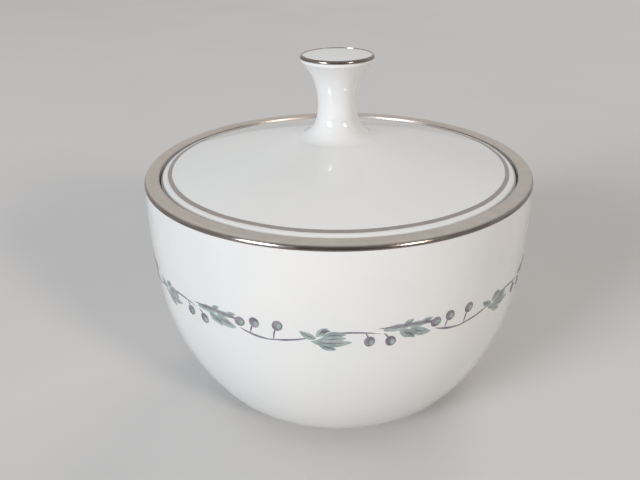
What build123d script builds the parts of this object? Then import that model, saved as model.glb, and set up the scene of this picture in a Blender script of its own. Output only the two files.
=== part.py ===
from build123d import *
import math
import os

# Covered sugar bowl in glazed china: millimetres, +Z up.
# Origin: centre of the foot ring, on the surface that the bowl stands on.
# Every outline is drawn in the half plane (radius, height) and turned about the Z axis.

# Bowl, overall
bowl_radius = 54.0         # outer radius at the lip
bowl_height = 70.0         # from the foot to the top of the lip
wall_thickness = 3.0

# Bowl, outer wall: from the lip to the sole in three tangent arcs
lip_round = 1.5            # rounding of the lip's outer corner
wall_lean = 2.9            # degrees that the wall leans out just below the lip
waist_inset = 1.1          # waist and hip lie this far inside bowl_radius
waist_height = 38.5
hip_inset = 12.8
hip_height = 9.1

# Bowl, foot ring
foot_radius = 28.0
foot_width = 3.4
foot_height = 3.6
foot_round = 0.9
sole_height = 3.0          # underside of the bowl inside the foot ring

# Bowl, recess and ledge that carry the lid
lip_width = 3.9
lip_inner_round = 0.7
recess_depth = 3.6
ledge_width = 3.6
ledge_thickness = 2.2
cove_share = 0.24          # share of the upper wall arc behind the cove under the ledge

# Lid
lid_clearance = 0.35       # between the lid's edge and the recess, all round
lid_thickness = 3.2
lid_edge_height = 1.7      # upright part of the lid's edge
lid_edge_round = 0.5       # rounding of its lower corner
shoulder_width = 2.1       # rounded shoulder between the edge and the platinum line
shoulder_rise = 1.9
dome_rise = 8.25           # from the platinum line up to the knob's seat
dome_top_slope = 10.0      # degrees, where the dome meets the knob
collar_clearance = 0.5     # between the locating collar and the ledge
collar_thickness = 2.6
collar_depth = 4.5         # below the ledge's top
collar_round = 0.8

# Knob: heights are above its seat on the lid
knob_foot_radius = 11.2
knob_flare_radius = 5.7
knob_flare_height = 5.65
knob_neck_radius = 5.4
knob_neck_height = 9.45
knob_radius = 9.9
knob_cup_height = 20.7     # under the upright edge of the top
knob_height = 22.2
knob_edge_round = 0.5
knob_crown = 0.5           # rise of the slightly domed top

# Platinum, fired on the glaze
film = 0.12                # modelled thickness of the metal
lip_band_drop = 0.3        # how far the lip's band runs down the wall below the rounding
lid_line_width = 1.0
knob_band_height = 0.7     # how far the knob's band runs down from the rounding's top

# Sizes worked out from the ones above
recess_radius = bowl_radius - lip_width
ledge_radius = recess_radius - ledge_width
seat_height = bowl_height - recess_depth
lid_radius = recess_radius - lid_clearance
line_radius = lid_radius - shoulder_width
line_height = seat_height + lid_edge_height + shoulder_rise
collar_radius = ledge_radius - collar_clearance
knob_seat_height = line_height + dome_rise


def heading(degrees):
    """Unit direction at an angle from +radius towards +height."""
    return (math.cos(math.radians(degrees)), math.sin(math.radians(degrees)))


def beside(edge, share, distance):
    """Point at a distance to the right of an edge, seen along its direction."""
    across = (edge % share).rotate(Axis.Z, -90)
    return (edge @ share) + across * distance


def beside_arc(edge, distance, start=0.0, end=1.0):
    """Arc alongside an arc, at a distance to its right."""
    return TangentArc(beside(edge, start, distance), beside(edge, end, distance), tangent=edge % start)


# --- Bowl ---------------------------------------------------------------------------------------


def lip_arc(mode=Mode.ADD):
    """Rounding of the lip, from its flat top to the outer wall."""
    start = (bowl_radius - lip_round, bowl_height)
    return JernArc(start, heading(0), lip_round, wall_lean - 90, mode=mode)


def wall_arcs(mode=Mode.ADD):
    """Outer wall, from the lip's rounding down to the sole."""
    lip = lip_arc(Mode.PRIVATE)
    waist = (bowl_radius - waist_inset, waist_height)
    hip = (bowl_radius - hip_inset, hip_height)
    upper = TangentArc(lip @ 1, waist, tangent=lip % 1, mode=mode)
    belly = TangentArc(waist, hip, tangent=upper % 1, mode=mode)
    lean_at_hip = -(belly % 1).X
    turn_radius = (hip_height - foot_height) / (1 - lean_at_hip)
    turn_angle = math.degrees(math.asin(lean_at_hip)) - 90
    turn = JernArc(hip, belly % 1, turn_radius, turn_angle, mode=mode)
    return upper, belly, turn


def foot_lines(start):
    """Sole outside the foot, the ring itself and the recessed sole inside it."""
    ring_inner = foot_radius - foot_width
    Line(start, (foot_radius, foot_height))
    Line((foot_radius, foot_height), (foot_radius, foot_round))
    outer = JernArc((foot_radius, foot_round), heading(-90), foot_round, -90)
    Line(outer @ 1, (ring_inner + foot_round, 0))
    inner = JernArc((ring_inner + foot_round, 0), heading(180), foot_round, -90)
    Line(inner @ 1, (ring_inner, sole_height))
    Line((ring_inner, sole_height), (0, sole_height))


def recess_lines():
    """Inner side of the lip, and the ledge that the lid rests on."""
    inner = JernArc((recess_radius, bowl_height - lip_inner_round), heading(90), lip_inner_round, -90)
    Line(inner @ 1, (bowl_radius - lip_round, bowl_height))
    Line((recess_radius, bowl_height - lip_inner_round), (recess_radius, seat_height))
    Line((recess_radius, seat_height), (ledge_radius, seat_height))
    Line((ledge_radius, seat_height), (ledge_radius, seat_height - ledge_thickness))


with BuildPart() as bowl:
    with BuildSketch(Plane.XZ):
        with BuildLine():
            lip_arc()
            upper, belly, turn = wall_arcs()
            foot_lines(turn @ 1)
            recess_lines()
            inner_upper = beside_arc(upper, wall_thickness, cove_share)
            Line((ledge_radius, seat_height - ledge_thickness), inner_upper @ 0)
            beside_arc(belly, wall_thickness)
            inner_turn = beside_arc(turn, wall_thickness)
            Line(inner_turn @ 1, (0, foot_height + wall_thickness))
            Line((0, foot_height + wall_thickness), (0, sole_height))
        make_face()
    revolve(axis=Axis.Z)

bowl.part.label = "bowl"

with BuildPart() as bowl_rim_band:
    with BuildSketch(Plane.XZ):
        with BuildLine():
            lip = lip_arc()
            upper = wall_arcs(Mode.PRIVATE)[0]
            strip_end = upper @ (lip_band_drop / upper.length)
            strip = TangentArc(upper @ 0, strip_end, tangent=upper % 0)
            skin = beside_arc(lip, -film)
            skin_strip = beside_arc(strip, -film)
            inner_edge = (recess_radius + lip_inner_round, bowl_height)
            Line(inner_edge, lip @ 0)
            Line((inner_edge[0], bowl_height + film), skin @ 0)
            Line(inner_edge, (inner_edge[0], bowl_height + film))
            Line(strip @ 1, skin_strip @ 1)
        make_face()
    revolve(axis=Axis.Z)

bowl_rim_band.part.label = "bowl_rim_band"

# --- Lid ----------------------------------------------------------------------------------------


def dome_arc(mode=Mode.ADD):
    """Top of the lid, from the knob's seat out to the platinum line."""
    start = (knob_foot_radius, knob_seat_height)
    end = (line_radius, line_height)
    return TangentArc(start, end, tangent=heading(-dome_top_slope), mode=mode)


def lid_edge_lines():
    """Shoulder, upright edge, rounded corner and the flat seat out to the collar."""
    TangentArc((lid_radius, line_height - shoulder_rise), (line_radius, line_height), tangent=heading(90))
    Line((lid_radius, line_height - shoulder_rise), (lid_radius, seat_height + lid_edge_round))
    corner = JernArc((lid_radius, seat_height + lid_edge_round), heading(-90), lid_edge_round, -90)
    Line(corner @ 1, (collar_radius, seat_height))


def collar_lines(inner_top):
    """Locating collar that hangs inside the ledge, up to the dome's underside."""
    foot = seat_height - collar_depth
    inner = collar_radius - collar_thickness
    Line((collar_radius, seat_height), (collar_radius, foot + collar_round))
    outer = JernArc((collar_radius, foot + collar_round), heading(-90), collar_round, -90)
    Line(outer @ 1, (inner + collar_round, foot))
    rounded = JernArc((inner + collar_round, foot), heading(180), collar_round, -90)
    Line(rounded @ 1, inner_top)


with BuildPart() as lid:
    with BuildSketch(Plane.XZ):
        with BuildLine():
            dome = dome_arc()
            lid_edge_lines()
            dome_width = line_radius - knob_foot_radius
            inner_share = (collar_radius - collar_thickness - knob_foot_radius) / dome_width
            underside = beside_arc(dome, lid_thickness, 0, inner_share)
            collar_lines(underside @ 1)
            Line((0, (underside @ 0).Y), underside @ 0)
            Line((0, knob_seat_height), (knob_foot_radius, knob_seat_height))
            Line((0, (underside @ 0).Y), (0, knob_seat_height))
        make_face()
    revolve(axis=Axis.Z)

lid.part.label = "lid"

with BuildPart() as lid_edge_line:
    with BuildSketch(Plane.XZ):
        with BuildLine():
            dome = dome_arc(Mode.PRIVATE)
            inner_share = 1 - lid_line_width / dome.length
            under = TangentArc(dome @ inner_share, dome @ 1, tangent=dome % inner_share)
            over = beside_arc(under, -film)
            Line(under @ 0, over @ 0)
            Line(under @ 1, over @ 1)
        make_face()
    revolve(axis=Axis.Z)

lid_edge_line.part.label = "lid_edge_line"

# --- Knob ---------------------------------------------------------------------------------------


def knob_edge(low_height, mode=Mode.ADD):
    """Upright edge of the knob's top, from a height above the seat, and the rounding over it."""
    low = (knob_radius, knob_seat_height + low_height)
    high = (knob_radius, knob_seat_height + knob_height - knob_edge_round)
    upright = Line(low, high, mode=mode)
    corner = JernArc(high, heading(90), knob_edge_round, 90, mode=mode)
    return upright, corner


with BuildPart() as knob:
    with BuildSketch(Plane.XZ):
        with BuildLine():
            neck = (knob_neck_radius, knob_seat_height + knob_neck_height)
            flare_end = (knob_flare_radius, knob_seat_height + knob_flare_height)
            flare = TangentArc(neck, flare_end, tangent=heading(-90))
            TangentArc(flare_end, (knob_foot_radius, knob_seat_height), tangent=flare % 1)
            upright, corner = knob_edge(knob_cup_height)
            TangentArc(neck, upright @ 0, tangent=heading(90))
            crown = (0, (corner @ 1).Y + knob_crown)
            TangentArc(crown, corner @ 1, tangent=heading(0))
            Line(crown, (0, knob_seat_height))
            Line((0, knob_seat_height), (knob_foot_radius, knob_seat_height))
        make_face()
    revolve(axis=Axis.Z)

knob.part.label = "knob"

with BuildPart() as knob_edge_band:
    with BuildSketch(Plane.XZ):
        with BuildLine():
            upright, corner = knob_edge(knob_height - knob_band_height)
            outer_low = (knob_radius + film, (upright @ 0).Y)
            outer_high = (knob_radius + film, (upright @ 1).Y)
            Line(outer_low, outer_high)
            skin = JernArc(outer_high, heading(90), knob_edge_round + film, 90)
            Line(upright @ 0, outer_low)
            Line(corner @ 1, skin @ 1)
        make_face()
    revolve(axis=Axis.Z)

knob_edge_band.part.label = "knob_edge_band"

# --- Files --------------------------------------------------------------------------------------

os.makedirs("parts", exist_ok=True)
export_step(bowl.part, "parts/bowl.step")
export_step(bowl_rim_band.part, "parts/bowl_rim_band.step")
export_step(lid.part, "parts/lid.step")
export_step(lid_edge_line.part, "parts/lid_edge_line.step")
export_step(knob.part, "parts/knob.step")
export_step(knob_edge_band.part, "parts/knob_edge_band.step")
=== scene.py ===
"""Looks of a covered sugar bowl in glazed china, with platinum bands and a printed leaf garland.

Lengths in the sub-assembly classes are in millimetres, as a potter's drawing gives them. They are
turned into metres when a mesh is made. Every round piece is an outline in the half plane
(radius, height) that is spun about the vertical axis. Azimuth 0 faces the camera (-Y) and grows
towards +X.
"""

from __future__ import annotations

import logging
import math
from dataclasses import dataclass, field
from enum import Enum
from functools import reduce
from typing import Callable

import bmesh
import bpy
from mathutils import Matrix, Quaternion, Vector

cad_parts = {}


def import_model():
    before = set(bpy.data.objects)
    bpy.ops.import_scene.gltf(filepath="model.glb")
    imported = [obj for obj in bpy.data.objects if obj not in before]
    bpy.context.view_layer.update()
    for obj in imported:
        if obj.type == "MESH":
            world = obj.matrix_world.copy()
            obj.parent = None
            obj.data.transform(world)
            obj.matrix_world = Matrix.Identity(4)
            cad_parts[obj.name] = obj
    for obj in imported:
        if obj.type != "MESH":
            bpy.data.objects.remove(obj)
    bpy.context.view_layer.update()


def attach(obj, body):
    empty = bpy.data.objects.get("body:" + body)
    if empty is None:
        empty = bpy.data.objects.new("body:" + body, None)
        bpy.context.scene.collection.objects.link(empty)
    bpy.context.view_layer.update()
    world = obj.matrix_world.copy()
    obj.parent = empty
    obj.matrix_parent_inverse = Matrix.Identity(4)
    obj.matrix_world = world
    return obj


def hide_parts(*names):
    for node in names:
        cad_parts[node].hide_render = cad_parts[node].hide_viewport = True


MM = 0.001
MERGE_DISTANCE = 1e-6
TINY_LENGTH = 1e-6
TINY_TURN = 1e-4
CORNER = math.radians(35)
LOG = logging.getLogger("sugar_bowl")

Point = tuple[float, float]
Colour = tuple[float, float, float]
Wave = tuple[int, float, float]
Socket = bpy.types.NodeSocket


class Body(Enum):
    """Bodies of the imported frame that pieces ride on."""

    BOWL = "bowl_body"
    LID = "lid_body"


class Slot(Enum):
    """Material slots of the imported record."""

    BOWL_CHINA = "bowl_china"
    LID_CHINA = "lid_china"
    PLATINUM = "platinum"


class Way(Enum):
    """Directions along an outline, in degrees from +radius towards +height."""

    OUT = 0.0
    UP = 90.0
    IN = 180.0
    DOWN = -90.0


class Given(Enum):
    """Coordinate of an outline that is known where the other is read."""

    RADIUS = 0
    HEIGHT = 1


# --- Outlines -------------------------------------------------------------------------------------


def unit(degrees: float) -> Vector:
    """Unit vector at an angle from the first axis towards the second."""
    angle = math.radians(degrees)
    return Vector((math.cos(angle), math.sin(angle)))


def heading_of(run: Vector) -> float:
    """Angle of a flat vector, in degrees from the first axis towards the second."""
    return math.degrees(math.atan2(run.y, run.x))


@dataclass
class Outline:
    """A smooth line in the half plane (radius, height), drawn by lines and tangent arcs.

    Attributes:
        points: the points drawn so far.
        heading: direction of travel at the last point, in degrees.
        arc_step: largest turn between two points of an arc, in degrees.
        reach: largest distance between two points, in millimetres.
        hold: distance of the extra point that keeps a straight run straight under smooth shading.
    """

    points: list[Point]
    heading: float = Way.OUT.value
    arc_step: float = 6.0
    reach: float = 1.6
    hold: float = 0.12

    @property
    def end(self) -> Point:
        """Last point of the outline."""
        return self.points[-1]

    def line_to(self, target: Point) -> Outline:
        """Draw a straight run with holding points near both ends.

        Args:
            target: point where the run ends.

        Returns:
            The outline itself, so that calls can be chained.
        """
        start, finish = Vector(self.end), Vector(target)
        run = finish - start
        if run.length < TINY_LENGTH:
            return self
        count = max(1, math.ceil(run.length / self.reach))
        shares = {step / count for step in range(1, count + 1)}
        if run.length > 3 * self.hold:
            shares |= {self.hold / run.length, 1 - self.hold / run.length}
        self.points += [tuple(start + run * share) for share in sorted(shares)]
        self.heading = heading_of(run)
        return self

    def arc_to(self, target: Point) -> Outline:
        """Draw the arc that leaves along the heading and ends at a point.

        Args:
            target: point where the arc ends.

        Returns:
            The outline itself.
        """
        run = Vector(target) - Vector(self.end)
        half_turn = (heading_of(run) - self.heading + 180) % 360 - 180
        if abs(half_turn) < TINY_TURN:
            return self.line_to(target)
        radius = run.length / (2 * math.sin(math.radians(abs(half_turn))))
        return self.turn(radius, 2 * half_turn)

    def turn(self, radius: float, degrees: float) -> Outline:
        """Turn along an arc of a given radius.

        Args:
            radius: radius of the arc.
            degrees: how far to turn, positive to the left.

        Returns:
            The outline itself.
        """
        quarter = math.copysign(90.0, degrees)
        centre = Vector(self.end) + radius * unit(self.heading + quarter)
        length = radius * abs(math.radians(degrees))
        count = max(2, math.ceil(abs(degrees) / self.arc_step), math.ceil(length / self.reach))
        for step in range(1, count + 1):
            spoke = unit(self.heading + degrees * step / count - quarter)
            self.points.append(tuple(centre + radius * spoke))
        self.heading += degrees
        return self

    def beside(self, distance: float) -> list[Point]:
        """Points of this outline moved to the right of its direction.

        Args:
            distance: how far each point moves.

        Returns:
            The moved points, in the same order.
        """
        moved = []
        for index, point in enumerate(self.points):
            before = Vector(self.points[max(index - 1, 0)])
            after = Vector(self.points[min(index + 1, len(self.points) - 1)])
            along = (after - before).normalized()
            moved.append((point[0] + along.y * distance, point[1] - along.x * distance))
        return moved


def read_outline(points: list[Point], given: Given, value: float) -> float:
    """Read an outline between its points.

    Args:
        points: an outline along which the given coordinate steadily grows or shrinks.
        given: the coordinate that is known.
        value: its value.

    Returns:
        The other coordinate there, or that of the last point where the value is past the outline.
    """
    known, sought = given.value, 1 - given.value
    for first, second in zip(points, points[1:]):
        low, high = sorted((first[known], second[known]))
        if low <= value <= high:
            share = abs(value - first[known]) / max(high - low, TINY_LENGTH)
            return first[sought] + (second[sought] - first[sought]) * share
    return points[-1][sought]


def waver(vert: bmesh.types.BMVert, waves: tuple[Wave, ...]) -> float:
    """Sum of waves round the axis, which makes an edge waver as a hand-drawn line does.

    Args:
        vert: the vertex to read the angle of.
        waves: each wave's count round the axis, height and phase.

    Returns:
        The sum at that angle.
    """
    around = math.atan2(vert.co.y, vert.co.x)
    return sum(height * math.sin(count * around + phase) for count, height, phase in waves)


# --- Meshes ---------------------------------------------------------------------------------------


def add_object(name: str, data: bpy.types.ID) -> bpy.types.Object:
    """Add an object with some data to the scene."""
    added = bpy.data.objects.new(name, data)
    bpy.context.scene.collection.objects.link(added)
    return added


def mesh_object(name: str, work: bmesh.types.BMesh) -> bpy.types.Object:
    """Add a bmesh to the scene as an object, and free it."""
    mesh = bpy.data.meshes.new(name)
    work.to_mesh(mesh)
    work.free()
    return add_object(name, mesh)


def new_piece(name: str, work: bmesh.types.BMesh, body: Body) -> bpy.types.Object:
    """Turn a bmesh into a smooth-shaded piece that rides on a body.

    Args:
        name: name of the piece.
        work: the finished bmesh, in metres; it is freed.
        body: the body that the piece rides on.

    Returns:
        The new piece.
    """
    for face in work.faces:
        face.smooth = True
    for edge in work.edges:
        edge.smooth = edge.calc_face_angle(0.0) < CORNER
    piece = mesh_object(name, work)
    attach(piece, body.value)
    return piece


def spun(points: list[Point], segments: int, closed: bool) -> bmesh.types.BMesh:
    """Spin an outline about the vertical axis into a closed shell.

    Args:
        points: the outline, in millimetres.
        segments: number of steps round the axis.
        closed: whether to join the outline's end to its start; if not, both lie on the axis or
            at one point.

    Returns:
        A bmesh in metres with its faces pointing outwards.
    """
    work = bmesh.new()
    verts = [work.verts.new((radius * MM, 0.0, height * MM)) for radius, height in points]
    edges = [work.edges.new(pair) for pair in zip(verts, verts[1:])]
    if closed:
        edges.append(work.edges.new((verts[-1], verts[0])))
    bmesh.ops.spin(
        work,
        geom=verts + edges,
        cent=(0, 0, 0),
        axis=(0, 0, 1),
        dvec=(0, 0, 0),
        angle=2 * math.pi,
        steps=segments,
        use_merge=True,
        use_duplicate=False,
    )
    bmesh.ops.remove_doubles(work, verts=work.verts, dist=MERGE_DISTANCE)
    loose = [edge for edge in work.edges if edge.is_wire]
    bmesh.ops.delete(work, geom=loose, context="EDGES")
    bmesh.ops.recalc_face_normals(work, faces=work.faces)
    return work


# --- Finishes -------------------------------------------------------------------------------------


class Blend(Enum):
    """What a mix node mixes: its data type, its two inputs and its output."""

    COLOUR = ("RGBA", 6, 7, 2)
    VALUE = ("FLOAT", 2, 3, 0)


class Ray(Enum):
    """Rays that show a surface to the eye, to gloss and through glass."""

    CAMERA = "Is Camera Ray"
    GLOSSY = "Is Glossy Ray"
    TRANSMISSION = "Is Transmission Ray"


@dataclass(frozen=True)
class Mottle:
    """Soft random patches on object coordinates.

    Attributes:
        scale: cells per metre.
        detail: number of octaves.
        window: noise values at which the patches begin and are full.
        stretch: scale of the coordinates along each axis.
    """

    scale: float
    detail: float = 2.0
    window: Point = (0.3, 0.7)
    stretch: Colour = (1.0, 1.0, 1.0)


def scaled(colour: Colour, share: float) -> Colour:
    """A colour darkened to a share of itself."""
    return tuple(share * part for part in colour)


class Nodes:
    """Short ways to add nodes to a tree."""

    def __init__(self, tree: bpy.types.NodeTree) -> None:
        """Keep the tree that nodes are added to."""
        self.tree = tree

    def add(self, kind: str, **settings: str) -> bpy.types.Node:
        """Add a node.

        Args:
            kind: type of the node, after the words "ShaderNode".
            settings: properties of the node to set.

        Returns:
            The node.
        """
        node = self.tree.nodes.new(f"ShaderNode{kind}")
        for name, value in settings.items():
            setattr(node, name, value)
        return node

    def feed(self, target: Socket, value: float | Colour | Socket) -> None:
        """Give a socket a constant value or colour, or link it to another socket.

        Args:
            target: the socket to feed.
            value: the value, colour or socket to feed it with.
        """
        if isinstance(value, bpy.types.NodeSocket):
            self.tree.links.new(value, target)
        elif isinstance(value, tuple):
            target.default_value = (*value, 1.0)
        else:
            target.default_value = value

    def mix(
        self,
        blend: Blend,
        share: Socket,
        first: float | Colour | Socket,
        second: float | Colour | Socket,
    ) -> Socket:
        """Mix two colours or two values.

        Args:
            blend: which of the two is mixed.
            share: socket that gives the second one's share.
            first: a constant, or a socket.
            second: a constant, or a socket.

        Returns:
            The mixed socket.
        """
        data_type, first_input, second_input, output = blend.value
        node = self.add("Mix", data_type=data_type)
        self.feed(node.inputs[0], share)
        self.feed(node.inputs[first_input], first)
        self.feed(node.inputs[second_input], second)
        return node.outputs[output]

    def ramp(self, value: Socket, window: Point, to: Point = (0.0, 1.0)) -> Socket:
        """Map a value's window onto a range, clamped.

        Args:
            value: socket to read.
            window: the two values that give the ends of the range.
            to: the range.

        Returns:
            The mapped value socket.
        """
        node = self.add("MapRange")
        for name, number in zip(("From Min", "From Max", "To Min", "To Max"), window + to):
            node.inputs[name].default_value = number
        self.feed(node.inputs["Value"], value)
        return node.outputs["Result"]

    def larger(self, first: Socket, second: Socket) -> Socket:
        """The larger of two values."""
        node = self.add("Math", operation="MAXIMUM")
        self.feed(node.inputs[0], first)
        self.feed(node.inputs[1], second)
        return node.outputs[0]

    def rays(self, *kinds: Ray) -> Socket:
        """Value that is 1 for some kinds of ray and 0 for the others.

        Args:
            kinds: the kinds of ray.

        Returns:
            The value socket.
        """
        path = self.add("LightPath")
        return reduce(self.larger, [path.outputs[kind.value] for kind in kinds])


class Finish(Nodes):
    """A procedural material around one Principled shader."""

    def __init__(self, name: str) -> None:
        """Start an empty material with its shader.

        Args:
            name: name of the material.
        """
        self.material = bpy.data.materials.new(name)
        self.material.use_nodes = True
        super().__init__(self.material.node_tree)
        self.shader = self.tree.nodes["Principled BSDF"]
        self.coords = self.add("TexCoord").outputs["Object"]

    def set(self, **values: float) -> None:
        """Set constant inputs of the shader; an underscore stands for a space."""
        for name, value in values.items():
            self.shader.inputs[name.replace("_", " ")].default_value = value

    def colour(self, source: Socket) -> None:
        """Link the shader's colour."""
        self.feed(self.shader.inputs["Base Color"], source)

    def roughness(self, source: Socket) -> None:
        """Link the shader's roughness."""
        self.feed(self.shader.inputs["Roughness"], source)

    def noise(self, mottle: Mottle) -> Socket:
        """Raw noise of a mottle, before its window.

        Args:
            mottle: the noise's scale, detail and stretch.

        Returns:
            The noise's value socket.
        """
        mapping = self.add("Mapping")
        mapping.inputs["Scale"].default_value = mottle.stretch
        self.feed(mapping.inputs["Vector"], self.coords)
        noise = self.add("TexNoise")
        noise.inputs["Scale"].default_value = mottle.scale
        noise.inputs["Detail"].default_value = mottle.detail
        self.feed(noise.inputs["Vector"], mapping.outputs["Vector"])
        return noise.outputs["Fac"]

    def patches(self, mottle: Mottle, to: Point = (0.0, 1.0)) -> Socket:
        """Patches of a mottle, spread over a range."""
        return self.ramp(self.noise(mottle), mottle.window, to)

    def above(self, level: float, fade: float) -> Socket:
        """Value that goes from 0 to 1 over a short fade above a level, both in metres."""
        split = self.add("SeparateXYZ")
        self.feed(split.inputs[0], self.coords)
        return self.ramp(split.outputs["Z"], (level, level + fade))

    def bump(self, mottle: Mottle, depth: float, strength: float) -> None:
        """Raise the surface by raw noise.

        Args:
            mottle: the noise.
            depth: height of the noise's full value, in metres.
            strength: share of the effect.
        """
        node = self.add("Bump")
        node.inputs["Distance"].default_value = depth
        node.inputs["Strength"].default_value = strength
        self.feed(node.inputs["Height"], self.noise(mottle))
        self.feed(self.shader.inputs["Normal"], node.outputs["Normal"])


@dataclass(frozen=True)
class ChinaGlaze:
    """White china under a clear gloss glaze, with a bare foot.

    Attributes:
        body: colour of the china through the glaze.
        pool: colour where the glaze lies a little thicker.
        bare: colour of the unglazed china.
        bare_shade: how dark the grain of the unglazed china is.
        bare_below: height in metres under which the china is bare; under the floor for none.
        bare_fade: height in metres over which the glaze begins.
        bare_roughness: roughness of the unglazed china.
        gloss: range of the glaze's roughness.
        clouds: where the glaze pools.
        grain: grain of the unglazed china.
        sheen: where the glaze is glossier.
        ripple: slight unevenness of the glaze.
        ripple_depth: height of the unevenness, in metres.
        ripple_strength: share of its effect.
    """

    body: Colour = (0.80, 0.80, 0.79)
    pool: Colour = (0.76, 0.775, 0.775)
    bare: Colour = (0.62, 0.59, 0.54)
    bare_shade: float = 0.8
    bare_below: float = 0.00035
    bare_fade: float = 0.00012
    bare_roughness: float = 0.75
    gloss: Point = (0.055, 0.095)
    clouds: Mottle = Mottle(38.0, 3.0, (0.35, 0.70))
    grain: Mottle = Mottle(2600.0)
    sheen: Mottle = Mottle(55.0)
    ripple: Mottle = Mottle(420.0)
    ripple_depth: float = 0.00002
    ripple_strength: float = 0.35

    def material(self, name: str) -> bpy.types.Material:
        """Build the material.

        Args:
            name: name of the material.

        Returns:
            The material.
        """
        nodes = Finish(name)
        glazed = nodes.mix(Blend.COLOUR, nodes.patches(self.clouds), self.body, self.pool)
        grain = nodes.patches(self.grain)
        biscuit = nodes.mix(Blend.COLOUR, grain, self.bare, scaled(self.bare, self.bare_shade))
        glaze = nodes.above(self.bare_below, self.bare_fade)
        nodes.colour(nodes.mix(Blend.COLOUR, glaze, biscuit, glazed))
        sheen = nodes.patches(self.sheen, self.gloss)
        nodes.roughness(nodes.mix(Blend.VALUE, glaze, self.bare_roughness, sheen))
        nodes.bump(self.ripple, self.ripple_depth, self.ripple_strength)
        nodes.set(IOR=1.52, Coat_Weight=0.35, Coat_Roughness=0.03)
        return nodes.material


@dataclass(frozen=True)
class PlatinumFilm:
    """Burnished platinum, brushed on by hand and fired, with painted reflection in its colours.

    Attributes:
        bright: colour of the film, darkened as a painted reflection of a dark room.
        shade: colour where the film pools and looks darker, with the same painted dark reflection.
        painted_lit_top: lighter colour of the film on a top, a painted reflection of the room above
            it.
        painted_lit_top_shade: how dark its random patches are.
        painted_lit_above: height in metres above which the film takes the painted lighter colour;
            none by default.
        painted_lit_fade: height in metres over which the painted lighter colour begins.
        gloss: range of the film's roughness below that height.
        top_finish_roughness: roughness above that height, a rougher finish.
        strokes: where the brush left more film.
        patches: random patches of the painted lighter colour.
        streaks: where the film below that height is glossier.
        ridges: ridges of the brush strokes.
        ridge_depth: height of the ridges, in metres.
        ridge_strength: share of their effect.
    """

    # film colours darkened, a painted reflection of a dark room
    bright: Colour = (0.30, 0.262, 0.245)
    shade: Colour = (0.20, 0.168, 0.155)
    # lighter colour for the film's top, a painted reflection
    painted_lit_top: Colour = (0.68, 0.62, 0.56)
    painted_lit_top_shade: float = 0.9
    painted_lit_above: float = 1.0
    painted_lit_fade: float = 0.0004
    gloss: Point = (0.13, 0.24)
    top_finish_roughness: float = 0.46
    strokes: Mottle = Mottle(160.0, 4.0, (0.35, 0.68), (1.0, 1.0, 9.0))
    patches: Mottle = Mottle(300.0, 3.0)
    streaks: Mottle = Mottle(240.0, 3.0, (0.3, 0.75), (1.0, 1.0, 6.0))
    ridges: Mottle = Mottle(900.0, stretch=(1.0, 1.0, 5.0))
    ridge_depth: float = 0.000006
    ridge_strength: float = 0.5

    def material(self, name: str) -> bpy.types.Material:
        """Build the material.

        Args:
            name: name of the material.

        Returns:
            The material.
        """
        nodes = Finish(name)
        # the film's colours are darkened, a painted reflection of a dark room
        film = nodes.mix(Blend.COLOUR, nodes.patches(self.strokes), self.bright, self.shade)
        # above a height the film takes a lighter colour, a painted reflection on its top, and a
        # rougher finish
        painted_lit_share = nodes.above(self.painted_lit_above, self.painted_lit_fade)
        painted_lit_dim = scaled(self.painted_lit_top, self.painted_lit_top_shade)
        painted_lit_colour = nodes.mix(Blend.COLOUR, nodes.patches(self.patches), self.painted_lit_top, painted_lit_dim)
        nodes.colour(nodes.mix(Blend.COLOUR, painted_lit_share, film, painted_lit_colour))
        lower_gloss = nodes.patches(self.streaks, self.gloss)
        nodes.roughness(nodes.mix(Blend.VALUE, painted_lit_share, lower_gloss, self.top_finish_roughness))
        nodes.bump(self.ridges, self.ridge_depth, self.ridge_strength)
        nodes.set(Metallic=1.0)
        return nodes.material


@dataclass(frozen=True)
class PrintedColour:
    """Ceramic colour printed on the glaze and fired in.

    Attributes:
        full: colour of the full print.
        pale: colour where the print is thin.
        gloss: range of the print's roughness.
        washes: where the print is thin.
        specks: where the print is glossier.
        tooth: fine unevenness of the print.
        tooth_depth: height of the unevenness, in metres.
        tooth_strength: share of its effect.
    """

    full: Colour
    pale: Colour
    gloss: Point = (0.14, 0.24)
    washes: Mottle = Mottle(520.0, 3.0, (0.35, 0.65))
    specks: Mottle = Mottle(1040.0)
    tooth: Mottle = Mottle(2400.0)
    tooth_depth: float = 0.000008
    tooth_strength: float = 0.4

    def material(self, name: str) -> bpy.types.Material:
        """Build the material.

        Args:
            name: name of the material.

        Returns:
            The material.
        """
        nodes = Finish(name)
        nodes.colour(nodes.mix(Blend.COLOUR, nodes.patches(self.washes), self.full, self.pale))
        nodes.roughness(nodes.patches(self.specks, self.gloss))
        nodes.bump(self.tooth, self.tooth_depth, self.tooth_strength)
        nodes.set(IOR=1.5)
        return nodes.material


@dataclass(frozen=True)
class PaleFloor:
    """Plain matt floor that looks paler than the light it gives back.

    Attributes:
        lit: colour that lights the object.
        seen: colour that the eye, gloss and glass see.
        seen_shade: how dark the floor's clouds are.
        clouds: slight clouds in the floor.
    """

    lit: Colour = (0.55, 0.545, 0.54)
    seen: Colour = (0.70, 0.695, 0.69)
    seen_shade: float = 0.97
    clouds: Mottle = Mottle(9.0, 3.0)

    def material(self, name: str) -> bpy.types.Material:
        """Build the material.

        Args:
            name: name of the material.

        Returns:
            The material.
        """
        nodes = Finish(name)
        clouds = nodes.patches(self.clouds)
        seen = nodes.mix(Blend.COLOUR, clouds, self.seen, scaled(self.seen, self.seen_shade))
        nodes.colour(nodes.mix(Blend.COLOUR, nodes.rays(*Ray), self.lit, seen))
        nodes.set(Roughness=0.9, Specular_IOR_Level=0.15)
        return nodes.material


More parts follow.
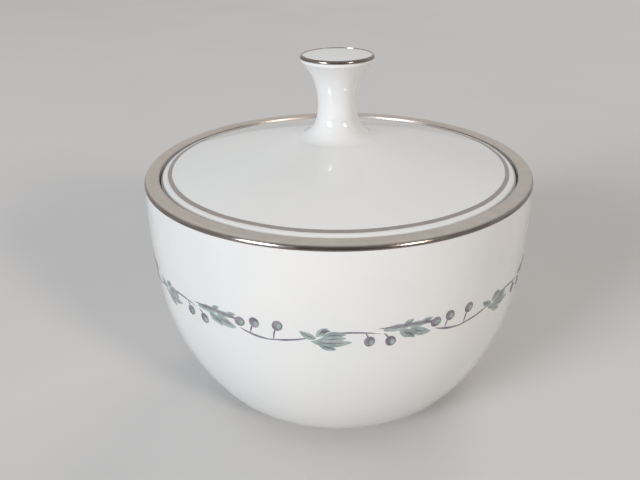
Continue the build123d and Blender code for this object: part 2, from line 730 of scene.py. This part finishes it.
@dataclass(frozen=True)
class Finishes:
    """Every finish of the object, made once."""

    china: bpy.types.Material
    lid_china: bpy.types.Material
    platinum: bpy.types.Material
    lip_platinum: bpy.types.Material
    line_platinum: bpy.types.Material
    sage: bpy.types.Material
    mauve: bpy.types.Material

    @classmethod
    def make(cls) -> Finishes:
        """Build all materials."""
        # the lid's line takes the lighter colour all over, a painted reflection on the lid's top
        line_film = PlatinumFilm(painted_lit_top=(0.50, 0.455, 0.44), painted_lit_above=0.0)
        sage_print = PrintedColour((0.25, 0.325, 0.315), (0.41, 0.475, 0.46))
        mauve_print = PrintedColour((0.175, 0.155, 0.195), (0.31, 0.285, 0.325))
        return cls(
            china=ChinaGlaze().material("china_glaze"),
            lid_china=ChinaGlaze(bare_below=-1.0).material("lid_china_glaze"),
            # the knob's band is the darkened film all over, a painted dark reflection
            platinum=PlatinumFilm().material("platinum_film"),
            # the lip's top takes the lighter colour and its outer rounding the darkened film, both
            # painted reflection
            lip_platinum=PlatinumFilm(painted_lit_above=0.0694).material("lip_platinum_film"),
            line_platinum=line_film.material("line_platinum_film"),
            sage=sage_print.material("sage_print"),
            mauve=mauve_print.material("mauve_print"),
        )


def dress(piece: bpy.types.Object, material: bpy.types.Material) -> None:
    """Give a piece its one material."""
    piece.data.materials.clear()
    piece.data.materials.append(material)


# --- Bowl -----------------------------------------------------------------------------------------


@dataclass
class Bowl:
    """The bowl: wall, foot ring, rounded lip, recess and ledge, and the platinum on the lip.

    The waist is where the upper wall turns into the belly, and the hip is where the belly turns
    into the sole. Under the ledge a cove runs from the wall to the ledge's inner face.
    """

    radius: float = 54.0
    height: float = 70.0
    wall: float = 3.0
    lip_round: float = 1.5
    wall_lean: float = 2.9
    waist: Point = (52.9, 38.5)
    hip: Point = (41.2, 9.1)
    foot_radius: float = 28.0
    foot_width: float = 3.4
    foot_height: float = 3.6
    foot_round: float = 0.9
    sole_height: float = 3.0
    lip_width: float = 3.9
    lip_inner_round: float = 0.7
    recess_depth: float = 3.6
    ledge_width: float = 3.6
    ledge_thickness: float = 2.2
    ledge_round: float = 0.5
    cove_turn: Point = (1.6, -1.4)
    cove_end: float = 0.4
    film: float = 0.12
    band_drop: float = 0.04
    band_waver: float = 0.06
    band_waves: tuple[Wave, ...] = ((5, 1.0, 0.6), (13, 0.7, 0.0), (31, 0.4, 0.0))
    segments: int = 288

    @property
    def recess_radius(self) -> float:
        """Radius of the recess that takes the lid."""
        return self.radius - self.lip_width

    @property
    def ledge_radius(self) -> float:
        """Inner radius of the ledge."""
        return self.recess_radius - self.ledge_width

    @property
    def seat_height(self) -> float:
        """Height of the ledge that the lid rests on."""
        return self.height - self.recess_depth

    def lip(self) -> Outline:
        """Rounding of the lip, from its flat top to the wall."""
        outline = Outline([(self.radius - self.lip_round, self.height)], Way.OUT.value)
        return outline.turn(self.lip_round, self.wall_lean - 90)

    def wall_outline(self, inset: float = 0.0) -> Outline:
        """Outer wall from under the lip to the sole, or the line at a distance inside it.

        Args:
            inset: distance inside the outer wall.

        Returns:
            The outline, running down.
        """
        lip = self.lip()
        outline = Outline([lip.end], lip.heading)
        outline.arc_to(self.waist).arc_to(self.hip)
        rise = math.radians(outline.heading)
        turn_radius = (self.hip[1] - self.foot_height) / (1 + math.cos(rise))
        outline.turn(turn_radius, -180 - outline.heading)
        if inset:
            outline.points = outline.beside(inset)
        return outline

    def build(self, finishes: Finishes) -> list[bpy.types.Object]:
        """Make the china and its platinum band.

        Args:
            finishes: the finishes to dress them in.

        Returns:
            The pieces made.
        """
        china = self.china()
        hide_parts("bowl")
        dress(china, finishes.china)
        band = self.band()
        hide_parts("bowl_rim_band")
        dress(band, finishes.lip_platinum)
        return [china, band]

    def china(self) -> bpy.types.Object:
        """The china bowl as one closed shell."""
        outer = self.lip()
        outer.points += self.wall_outline().points[1:]
        outer.heading = Way.IN.value
        ring_inner = self.foot_radius - self.foot_width
        outer.line_to((self.foot_radius + self.foot_round, self.foot_height))
        outer.turn(self.foot_round, 90)
        outer.line_to((self.foot_radius, self.foot_round))
        outer.turn(self.foot_round, -90)
        outer.line_to((ring_inner + self.foot_round, 0.0))
        outer.turn(self.foot_round, -90)
        outer.line_to((ring_inner, self.sole_height - self.foot_round))
        outer.turn(self.foot_round, 90)
        outer.line_to((0.0, self.sole_height))
        work = spun(outer.points + self.inner_points(), self.segments, closed=False)
        return new_piece("bowl_china", work, Body.BOWL)

    def inner_points(self) -> list[Point]:
        """Inside of the bowl from the floor's centre up to the top of the lip."""
        floor = Outline([(0.0, self.foot_height + self.wall)], Way.OUT.value)
        inside = self.wall_outline(self.wall).points[::-1]
        floor.line_to(inside[0])
        cove_top = self.seat_height - self.ledge_thickness
        cove_width = read_outline(inside, Given.HEIGHT, cove_top) - self.ledge_radius
        cove_low = cove_top - cove_width
        floor.points += [point for point in inside[1:] if point[1] < cove_low]
        floor.heading = Way.UP.value
        floor.arc_to((self.ledge_radius + self.cove_turn[0], cove_top + self.cove_turn[1]))
        floor.arc_to((self.ledge_radius, cove_top + self.cove_end))
        floor.heading = Way.UP.value
        floor.line_to((self.ledge_radius, self.seat_height - self.ledge_round))
        floor.turn(self.ledge_round, -90)
        floor.line_to((self.recess_radius - self.ledge_round, self.seat_height))
        floor.turn(self.ledge_round, 90)
        floor.line_to((self.recess_radius, self.height - self.lip_inner_round))
        floor.turn(self.lip_inner_round, -90)
        floor.line_to((self.radius - self.lip_round, self.height))
        return floor.points

    def band(self) -> bpy.types.Object:
        """Platinum over the lip, a thin skin whose lower edge wavers as a brushed line does."""
        inner = Outline([(self.recess_radius, self.height - self.lip_inner_round)], Way.UP.value)
        inner.turn(self.lip_inner_round, -90)
        inner.line_to(self.lip().points[0])
        inner.points += self.lip().points[1:]
        drop = self.band_drop * unit(self.wall_lean - 90)
        inner.line_to(tuple(Vector(inner.end) + drop))
        outer = inner.beside(-self.film)
        work = spun(inner.points + outer[::-1], self.segments, closed=True)
        low = (self.height - self.lip_round) * MM
        for vert in work.verts:
            if vert.co.z < low:
                vert.co.z += waver(vert, self.band_waves) * self.band_waver * MM
        return new_piece("bowl_rim_platinum", work, Body.BOWL)


# --- Lid ------------------------------------------------------------------------------------------


@dataclass
class Lid:
    """The lid: dome, shoulder, edge, locating collar, and the platinum line on its shoulder.

    Underneath, a cove of cove_width and cove_height joins the collar to the hollow of the dome.
    """

    bowl: Bowl
    clearance: float = 0.35
    thickness: float = 3.2
    edge_height: float = 1.7
    edge_round: float = 0.5
    shoulder_width: float = 2.1
    shoulder_rise: float = 1.9
    dome_rise: float = 8.25
    dome_top_slope: float = 10.0
    collar_clearance: float = 0.5
    collar_thickness: float = 2.6
    collar_depth: float = 4.5
    collar_round: float = 0.8
    cove_width: float = 2.0
    cove_height: float = 2.6
    knob_foot_radius: float = 11.2
    line_width: float = 1.0
    line_steps: int = 4
    line_waver: float = 0.05
    line_waves: tuple[Wave, ...] = ((7, 1.0, 0.0), (17, 0.6, 1.0))
    film: float = 0.12
    segments: int = 288

    @property
    def radius(self) -> float:
        """Outer radius of the lid."""
        return self.bowl.recess_radius - self.clearance

    @property
    def line_point(self) -> Point:
        """Outer edge of the platinum line, where the dome meets the shoulder."""
        height = self.bowl.seat_height + self.edge_height + self.shoulder_rise
        return (self.radius - self.shoulder_width, height)

    @property
    def knob_seat(self) -> float:
        """Height of the knob's seat."""
        return self.line_point[1] + self.dome_rise

    def dome(self) -> Outline:
        """Top of the lid from the knob's seat out to the platinum line."""
        outline = Outline([(self.knob_foot_radius, self.knob_seat)], -self.dome_top_slope)
        return outline.arc_to(self.line_point)

    def build(self, finishes: Finishes) -> list[bpy.types.Object]:
        """Make the china and its platinum line.

        Args:
            finishes: the finishes to dress them in.

        Returns:
            The pieces made.
        """
        china = self.china()
        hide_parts("lid")
        dress(china, finishes.lid_china)
        line = self.line()
        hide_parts("lid_edge_line")
        dress(line, finishes.line_platinum)
        return [china, line]

    def china(self) -> bpy.types.Object:
        """The china lid as one closed shell."""
        seat = self.bowl.seat_height
        collar = self.bowl.ledge_radius - self.collar_clearance
        collar_inner = collar - self.collar_thickness
        foot = seat - self.collar_depth
        outline = Outline([(0.0, self.knob_seat)], Way.OUT.value)
        outline.line_to((self.knob_foot_radius, self.knob_seat))
        outline.points += self.dome().points[1:]
        shoulder = Outline([(self.radius, self.line_point[1] - self.shoulder_rise)], Way.UP.value)
        outline.points += shoulder.arc_to(self.line_point).points[-2::-1]
        outline.heading = Way.DOWN.value
        outline.line_to((self.radius, seat + self.edge_round)).turn(self.edge_round, -90)
        outline.line_to((collar + self.edge_round, seat))
        outline.turn(self.edge_round, 90)
        outline.line_to((collar, foot + self.collar_round)).turn(self.collar_round, -90)
        outline.line_to((collar_inner + self.collar_round, foot)).turn(self.collar_round, -90)
        hollow_radius = collar_inner - self.cove_width
        hollow = [point for point in self.dome().beside(self.thickness) if point[0] < hollow_radius]
        outline.line_to((collar_inner, hollow[-1][1] - self.cove_height))
        outline.arc_to(hollow[-1])
        outline.points += hollow[-2::-1]
        outline.line_to((0.0, hollow[0][1]))
        work = spun(outline.points, self.segments, closed=False)
        return new_piece("lid_china", work, Body.LID)

    def line(self) -> bpy.types.Object:
        """Platinum line on the edge of the dome, a thin skin with slightly wavering edges."""
        dome = self.dome().points
        start = self.line_point[0] - self.line_width
        shares = [step / self.line_steps for step in range(self.line_steps + 1)]
        radii = [start + self.line_width * share for share in shares]
        inner = Outline([(radius, read_outline(dome, Given.RADIUS, radius)) for radius in radii])
        outer = inner.beside(-self.film)
        work = spun(inner.points + outer[::-1], self.segments, closed=True)
        for vert in work.verts:
            outward = Vector((vert.co.x, vert.co.y, 0)).normalized()
            vert.co += outward * waver(vert, self.line_waves) * self.line_waver * MM
        return new_piece("lid_platinum_line", work, Body.LID)


# --- Knob -----------------------------------------------------------------------------------------


@dataclass
class Knob:
    """The flared spool knob and the platinum round its top.

    Heights are above its seat. The flare is where the foot's arc meets the neck's arc.
    """

    lid: Lid
    flare: Point = (5.7, 5.65)
    neck: Point = (5.4, 9.45)
    radius: float = 9.9
    cup_height: float = 20.7
    height: float = 22.2
    edge_round: float = 0.5
    crown: float = 0.5
    band_height: float = 0.7
    film: float = 0.12
    reach: float = 0.6
    segments: int = 160

    def place(self, point: Point) -> Point:
        """A point given above the seat, in the object's own heights."""
        return (point[0], point[1] + self.lid.knob_seat)

    def edge(self, low: float) -> Outline:
        """Upright edge of the top and the rounding over it.

        Args:
            low: height above the seat at which the edge starts.

        Returns:
            The outline, running up.
        """
        outline = Outline([self.place((self.radius, low))], Way.UP.value)
        outline.line_to(self.place((self.radius, self.height - self.edge_round)))
        return outline.turn(self.edge_round, 90)

    def build(self, finishes: Finishes) -> list[bpy.types.Object]:
        """Make the china and its platinum band.

        Args:
            finishes: the finishes to dress them in.

        Returns:
            The pieces made.
        """
        china = self.china()
        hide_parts("knob")
        dress(china, finishes.lid_china)
        band = self.band()
        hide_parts("knob_edge_band")
        dress(band, finishes.platinum)
        return [china, band]

    def china(self) -> bpy.types.Object:
        """The china knob as one closed shell."""
        down = Outline([self.place(self.neck)], Way.DOWN.value, reach=self.reach)
        down.arc_to(self.place(self.flare)).arc_to(self.place((self.lid.knob_foot_radius, 0.0)))
        up = Outline([self.place(self.neck)], Way.UP.value, reach=self.reach)
        edge = self.edge(self.cup_height)
        up.arc_to(edge.points[0])
        up.points += edge.points[1:]
        crown = Outline([self.place((0.0, self.height + self.crown))], Way.OUT.value)
        crown.arc_to(up.end)
        side = down.points[::-1] + up.points[1:]
        points = [self.place((0.0, 0.0)), *side, *crown.points[-2::-1]]
        work = spun(points, self.segments, closed=False)
        return new_piece("knob_china", work, Body.LID)

    def band(self) -> bpy.types.Object:
        """Platinum round the edge of the top."""
        inner = self.edge(self.height - self.band_height)
        outer = inner.beside(self.film)
        work = spun(inner.points + outer[::-1], self.segments, closed=True)
        return new_piece("knob_platinum", work, Body.LID)


# --- Garland --------------------------------------------------------------------------------------


@dataclass(frozen=True)
class Blade:
    """One brush stroke of the garland: a leaf, a bud or a length of stem.

    Attributes:
        start: where it begins, as distance round the wall and height above the garland's line.
        heading: direction at its start, in degrees.
        length: length along its middle.
        width: greatest width.
        bend: how far it turns from start to tip, in degrees.
        fullness: 1 puts the greatest width in the middle; less puts it nearer the start.
        round: whether the outline is an oval, as a bud's is, in place of a leaf's.
        swell: power that fills a leaf's outline out; less is fuller.
    """

    start: Point
    heading: float
    length: float
    width: float
    bend: float = 0.0
    fullness: float = 1.0
    round: bool = False
    swell: float = 0.85

    def at(self, share: float) -> tuple[Vector, Vector]:
        """Middle point and sideways direction.

        Args:
            share: how far along the blade, from 0 to 1.

        Returns:
            The point and the unit vector to the left.
        """
        chord = self.length * share * unit(self.heading + self.bend * share / 2)
        left = unit(self.heading + self.bend * share + 90)
        return Vector(self.start) + chord, left

    def half_width(self, share: float) -> float:
        """Half width at a share of the length, with a slim root and a pointed tip unless round."""
        if self.round:
            return self.width / 2 * math.sqrt(max(1 - (2 * share - 1) ** 2, 0.0))
        arch = max(math.sin(math.pi * share**self.fullness), 0.0)
        return self.width / 2 * arch**self.swell


@dataclass
class Garland:
    """Printed garland of leaf sprays and bud pairs round the bowl's wall.

    Attributes:
        bowl: the bowl that it is printed on.
        line_height: height of the line that it follows.
        repeats: number of repeats round the wall.
        lift: distance of the lowest print's back off the wall.
        depth: thickness of a print.
        along: cells along a blade.
        across: cells across a blade.
        least_half_width: half width of a blade's root and tip.
        fine_width: width of the leaves' ribs and of the buds' stalks.
        rib_span: shares of a leaf's length at which its rib starts and how long it is.
        rib_turn: share of a leaf's bend that its rib starts with.
        bud_size: length and width of a bud.
        heart_size: length and width of a bud's heart.
        heart_shift: place of a heart from its bud's middle.
        stalk_bend: how far a bud's stalk turns, in degrees.
        wall_points: the outer wall's outline, for wrapping.
    """

    bowl: Bowl
    line_height: float = 46.3
    repeats: int = 7
    lift: float = 0.012
    depth: float = 0.028
    along: int = 14
    across: int = 4
    least_half_width: float = 0.03
    fine_width: float = 0.42
    rib_span: Point = (0.22, 0.6)
    rib_turn: float = 0.3
    bud_size: Point = (2.9, 2.6)
    heart_size: Point = (1.5, 1.15)
    heart_shift: Point = (0.45, -0.2)
    stalk_bend: float = -28.0
    wall_points: list[Point] = field(init=False)

    def __post_init__(self) -> None:
        """Keep the outer wall's line for wrapping."""
        self.wall_points = self.bowl.wall_outline().points

    @property
    def wall_radius(self) -> float:
        """Radius of the wall at the garland's line."""
        return read_outline(self.wall_points, Given.HEIGHT, self.line_height)

    @property
    def repeat_length(self) -> float:
        """Length of one repeat round the wall."""
        return 2 * math.pi * self.wall_radius / self.repeats

    def leaves(self) -> list[Blade]:
        """Sage leaves of one repeat: a spray in front of the stem's end and one under the next."""
        front = [
            Blade((-6.4, -1.5), -10.0, 9.8, 2.3, 18.0, 0.9),
            Blade((-4.6, -2.0), -36.0, 4.6, 1.8, 26.0, 0.9),
            Blade((-5.0, -0.7), 168.0, 4.4, 1.8, -26.0, 0.9),
            Blade((-5.0, -0.2), 52.0, 3.7, 1.9, -16.0, 0.95),
            Blade((-3.6, -0.2), 20.0, 5.6, 1.9, -26.0, 0.9),
            Blade((-4.6, -0.9), 0.0, 6.6, 2.0, 8.0, 0.9),
        ]
        side = [
            Blade((10.6, 1.1), 8.0, 7.4, 1.9, -8.0, 0.9),
            Blade((16.0, 1.5), 3.0, 6.8, 1.6, -6.0, 0.9),
            Blade((14.6, 0.8), -46.0, 4.8, 2.3, 40.0, 0.9),
            Blade((17.2, 0.8), -40.0, 6.0, 2.4, 38.0, 0.9),
            Blade((15.6, 1.4), 44.0, 3.0, 1.6, -14.0, 0.95),
            Blade((16.6, 0.4), -66.0, 3.3, 1.7, 30.0, 0.9),
            Blade((19.6, 1.4), 28.0, 3.6, 1.4, -20.0, 0.95),
        ]
        return front + side

    def ribs(self) -> list[Blade]:
        """Darker strokes along the leaves' middles and over the two sprays."""
        strokes = []
        start, span = self.rib_span
        for leaf in self.leaves():
            root, _ = leaf.at(start)
            heading = leaf.heading + self.rib_turn * leaf.bend
            length, bend = span * leaf.length, span * leaf.bend
            strokes.append(Blade(tuple(root), heading, length, self.fine_width, bend))
        strokes.append(Blade((-3.9, 1.1), 40.0, 2.2, 1.0, -60.0, 0.9))
        strokes.append(Blade((9.4, 1.7), 2.0, 14.0, 0.62, -4.0, 0.9))
        return strokes

    def bud_places(self) -> list[tuple[Point, float]]:
        """Middles of the buds of one repeat, and the heading that each grows in."""
        return [
            ((-20.2, 1.6), 105.0),
            ((-14.3, 1.9), 75.0),
            ((7.4, -1.7), -105.0),
            ((12.5, -2.1), -80.0),
            ((24.0, 0.9), 30.0),
        ]

    def buds(self) -> list[Blade]:
        """Round buds of one repeat."""
        return [self.oval(middle, heading, self.bud_size) for middle, heading in self.bud_places()]

    def bud_hearts(self) -> list[Blade]:
        """Sage hearts in the buds."""
        hearts = []
        for middle, heading in self.bud_places():
            shifted = tuple(Vector(middle) + Vector(self.heart_shift))
            hearts.append(self.oval(shifted, heading, self.heart_size))
        return hearts

    @staticmethod
    def oval(middle: Point, heading: float, size: Point) -> Blade:
        """A straight oval of a length and width about a middle point."""
        length, width = size
        start = Vector(middle) - length / 2 * unit(heading)
        return Blade(tuple(start), heading, length, width, round=True)

    def stems(self) -> list[Blade]:
        """Fine stems of one repeat, and the stalks of its buds."""
        stems = [
            Blade((-24.3, -0.9), -22.0, 9.6, 0.62, 26.0, 0.8),
            Blade((-16.6, -2.3), 2.0, 11.6, 0.55, 18.0, 0.8),
            Blade((-1.6, 0.9), 6.0, 11.6, 0.50, -18.0, 0.8),
            Blade((20.6, 1.5), -4.0, 3.6, 0.50, -10.0, 0.8),
        ]
        roots = ((-21.4, -1.6), (-15.4, -2.2), (6.4, 0.8), (10.8, 0.3))
        for root, (middle, _) in zip(roots, self.bud_places()):
            run = Vector(middle) - Vector(root)
            heading = heading_of(run) - self.stalk_bend / 2
            stems.append(Blade(root, heading, run.length, self.fine_width, self.stalk_bend, 0.8))
        return stems

    def wrap(self, flat: Vector, lift: float) -> Vector:
        """Lay a flat point on the wall.

        Args:
            flat: distance round the wall and height above the line, in millimetres.
            lift: distance off the wall.

        Returns:
            The point in metres.
        """
        azimuth = flat.x / self.wall_radius
        height = self.line_height + flat.y
        radius = read_outline(self.wall_points, Given.HEIGHT, height) + lift
        return Vector((radius * math.sin(azimuth), -radius * math.cos(azimuth), height)) * MM

    def print_blades(self, name: str, blades: list[Blade], lift: float) -> bpy.types.Object:
        """Make every repeat of some blades as one thin printed piece.

        Args:
            name: name of the piece.
            blades: blades of one repeat.
            lift: distance of the print's back off the wall.

        Returns:
            The piece.
        """
        work = bmesh.new()
        for repeat in range(self.repeats):
            shift = Vector((repeat * self.repeat_length, 0.0))
            for blade in blades:
                self.add_blade(work, blade, shift, lift)
        shell = bmesh.ops.extrude_face_region(work, geom=list(work.faces))["geom"]
        for vert in (item for item in shell if isinstance(item, bmesh.types.BMVert)):
            outward = Vector((vert.co.x, vert.co.y, 0)).normalized()
            vert.co += outward * self.depth * MM
        bmesh.ops.recalc_face_normals(work, faces=work.faces)
        return new_piece(name, work, Body.BOWL)

    def add_blade(
        self, work: bmesh.types.BMesh, blade: Blade, shift: Vector, lift: float
    ) -> None:
        """Add one blade as a grid laid on the wall.

        Args:
            work: the bmesh to add to.
            blade: the blade.
            shift: where its repeat begins.
            lift: distance off the wall.
        """
        made = bmesh.ops.create_grid(work, x_segments=self.along, y_segments=self.across, size=1.0)
        for vert in made["verts"]:
            reach = math.sin(math.pi / 2 * vert.co.x) if blade.round else vert.co.x
            share = (1 + reach) / 2
            middle, left = blade.at(share)
            half_width = max(blade.half_width(share), self.least_half_width)
            vert.co = self.wrap(middle + left * vert.co.y * half_width + shift, lift)

    def build(self, finishes: Finishes) -> list[bpy.types.Object]:
        """Make the printed pieces.

        Args:
            finishes: the finishes to dress them in.

        Returns:
            The pieces made.
        """
        over = self.lift + self.depth
        plan: tuple[tuple[str, list[Blade], float, bpy.types.Material], ...] = (
            ("garland_leaves", self.leaves(), self.lift, finishes.sage),
            ("garland_ribs", self.ribs(), over, finishes.mauve),
            ("garland_stems", self.stems(), self.lift, finishes.mauve),
            ("garland_buds", self.buds(), over, finishes.mauve),
            ("garland_bud_hearts", self.bud_hearts(), over + self.depth, finishes.sage),
        )
        pieces = []
        for name, blades, lift, material in plan:
            piece = self.print_blades(name, blades, lift)
            dress(piece, material)
            pieces.append(piece)
        return pieces


# --- Studio ---------------------------------------------------------------------------------------


def aside(azimuth: float, elevation: float) -> Vector:
    """Unit vector away from the object.

    Args:
        azimuth: degrees from the camera's side towards +X.
        elevation: degrees above the floor.

    Returns:
        The vector.
    """
    turn, rise = math.radians(azimuth), math.radians(elevation)
    level = math.cos(rise)
    return Vector((math.sin(turn) * level, -math.cos(turn) * level, math.sin(rise)))


@dataclass(frozen=True)
class Softbox:
    """A square lamp aimed at the object.

    Attributes:
        name: name of the lamp.
        azimuth: where it stands, in degrees from the camera's side towards +X.
        elevation: degrees above the floor.
        distance: distance from the aim, in metres.
        size: side of the lamp, in metres.
        power: watts.
        colour: colour of its light.
        mirrored: whether gloss shows it.
    """

    name: str
    azimuth: float
    elevation: float
    distance: float
    size: float
    power: float
    colour: Colour
    mirrored: bool = True

    def place(self, aim: Vector) -> None:
        """Add the lamp to the scene.

        Args:
            aim: point that it faces.
        """
        lamp = bpy.data.lights.new(self.name, "AREA")
        lamp.size = self.size
        lamp.energy = self.power
        lamp.color = self.colour
        away = aside(self.azimuth, self.elevation)
        holder = add_object(self.name, lamp)
        holder.location = aim + away * self.distance
        holder.visible_glossy = self.mirrored
        holder.rotation_mode = "QUATERNION"
        holder.rotation_quaternion = (-away).to_track_quat("-Z", "Y")


@dataclass
class Studio:
    """Pale floor, soft lamps, world and camera.

    Attributes:
        rim_centre: centre of the bowl's rim, which the lamps and the camera are placed from.
        floor_half_width: half the side of the floor, in metres.
        distance: distance of the camera, in metres.
        elevation: degrees of the camera above the rim's plane.
        pitch: degrees that the camera looks down.
        pan: degrees that it is turned to the left.
        roll: degrees that it is rolled.
        lens: its focal length, in millimetres.
        clip_start: nearest distance that it sees, in metres.
        sky: colour of the surroundings as a light.
        seen_sky: their colour to the eye, to gloss and through glass.
        front: colour of the dim part low behind the camera, which only the eye doesn't see.
        bright_side: direction in which the surroundings are fully bright.
        dimming: how far along that direction the dim part ends and the bright part begins.
        softboxes: the lamps.
    """

    rim_centre: Vector
    floor_half_width: float = 4.0
    distance: float = 0.2015
    elevation: float = 19.3
    pitch: float = 25.6
    pan: float = 1.6
    roll: float = -0.8
    lens: float = 39.375
    clip_start: float = 0.01
    sky: Colour = (0.40, 0.40, 0.405)
    seen_sky: Colour = (0.62, 0.62, 0.62)
    front: Colour = (0.15, 0.145, 0.145)
    bright_side: Colour = (0.0, 0.94, 0.34)
    dimming: Point = (-0.75, 0.15)
    softboxes: tuple[Softbox, ...] = (
        Softbox("window_left", -44.0, 18.0, 3.0, 0.96, 65.0, (0.92, 0.955, 1.0)),
        Softbox("lamp_right", 42.0, 21.0, 3.0, 0.50, 30.5, (1.0, 0.89, 0.78)),
        Softbox("lamp_behind", 152.0, 34.0, 3.0, 1.42, 18.0, (1.0, 0.93, 0.86), False),
    )

    def build(self) -> None:
        """Set the stage."""
        self.floor()
        self.world()
        for softbox in self.softboxes:
            softbox.place(self.rim_centre)
        self.camera()
        bpy.context.scene.view_settings.view_transform = "Standard"

    def floor(self) -> None:
        """Large plain floor under the object."""
        work = bmesh.new()
        bmesh.ops.create_grid(work, x_segments=1, y_segments=1, size=self.floor_half_width)
        floor = mesh_object("floor", work)
        dress(floor, PaleFloor().material("pale_floor"))

    def world(self) -> None:
        """Even surroundings, paler to the eye and to gloss, with a dim part behind the camera."""
        world = bpy.data.worlds.new("studio")
        world.use_nodes = True
        nodes = Nodes(world.node_tree)
        facing = nodes.add("VectorMath", operation="DOT_PRODUCT")
        facing.inputs[1].default_value = self.bright_side
        nodes.feed(facing.inputs[0], nodes.add("TexCoord").outputs["Generated"])
        bright = nodes.ramp(facing.outputs["Value"], self.dimming)
        sky = nodes.mix(Blend.COLOUR, nodes.rays(*Ray), self.sky, self.seen_sky)
        share = nodes.larger(bright, nodes.rays(Ray.CAMERA))
        colour = nodes.mix(Blend.COLOUR, share, self.front, sky)
        nodes.feed(nodes.tree.nodes["Background"].inputs["Color"], colour)
        bpy.context.scene.world = world

    def camera(self) -> None:
        """Camera in front of the bowl and a little above the lid."""
        ahead = -aside(self.pan, self.pitch)
        data = bpy.data.cameras.new("camera")
        data.lens = self.lens
        data.clip_start = self.clip_start
        camera = add_object("camera", data)
        camera.location = self.rim_centre + aside(0.0, self.elevation) * self.distance
        camera.rotation_mode = "QUATERNION"
        level = ahead.to_track_quat("-Z", "Y")
        camera.rotation_quaternion = Quaternion(ahead, -math.radians(self.roll)) @ level
        bpy.context.scene.camera = camera


def main() -> None:
    """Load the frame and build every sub-assembly."""
    logging.basicConfig(level=logging.INFO, format="%(name)s: %(message)s")
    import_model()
    finishes = Finishes.make()
    bowl = Bowl()
    lid = Lid(bowl)
    builders: tuple[Callable[[Finishes], list[bpy.types.Object]], ...] = (
        bowl.build,
        lid.build,
        Knob(lid).build,
        Garland(bowl).build,
    )
    for build in builders:
        for piece in build(finishes):
            LOG.info("%s: %d faces", piece.name, len(piece.data.polygons))
    Studio(Vector((0.0, 0.0, bowl.height * MM))).build()


if __name__ == "__main__":
    main()
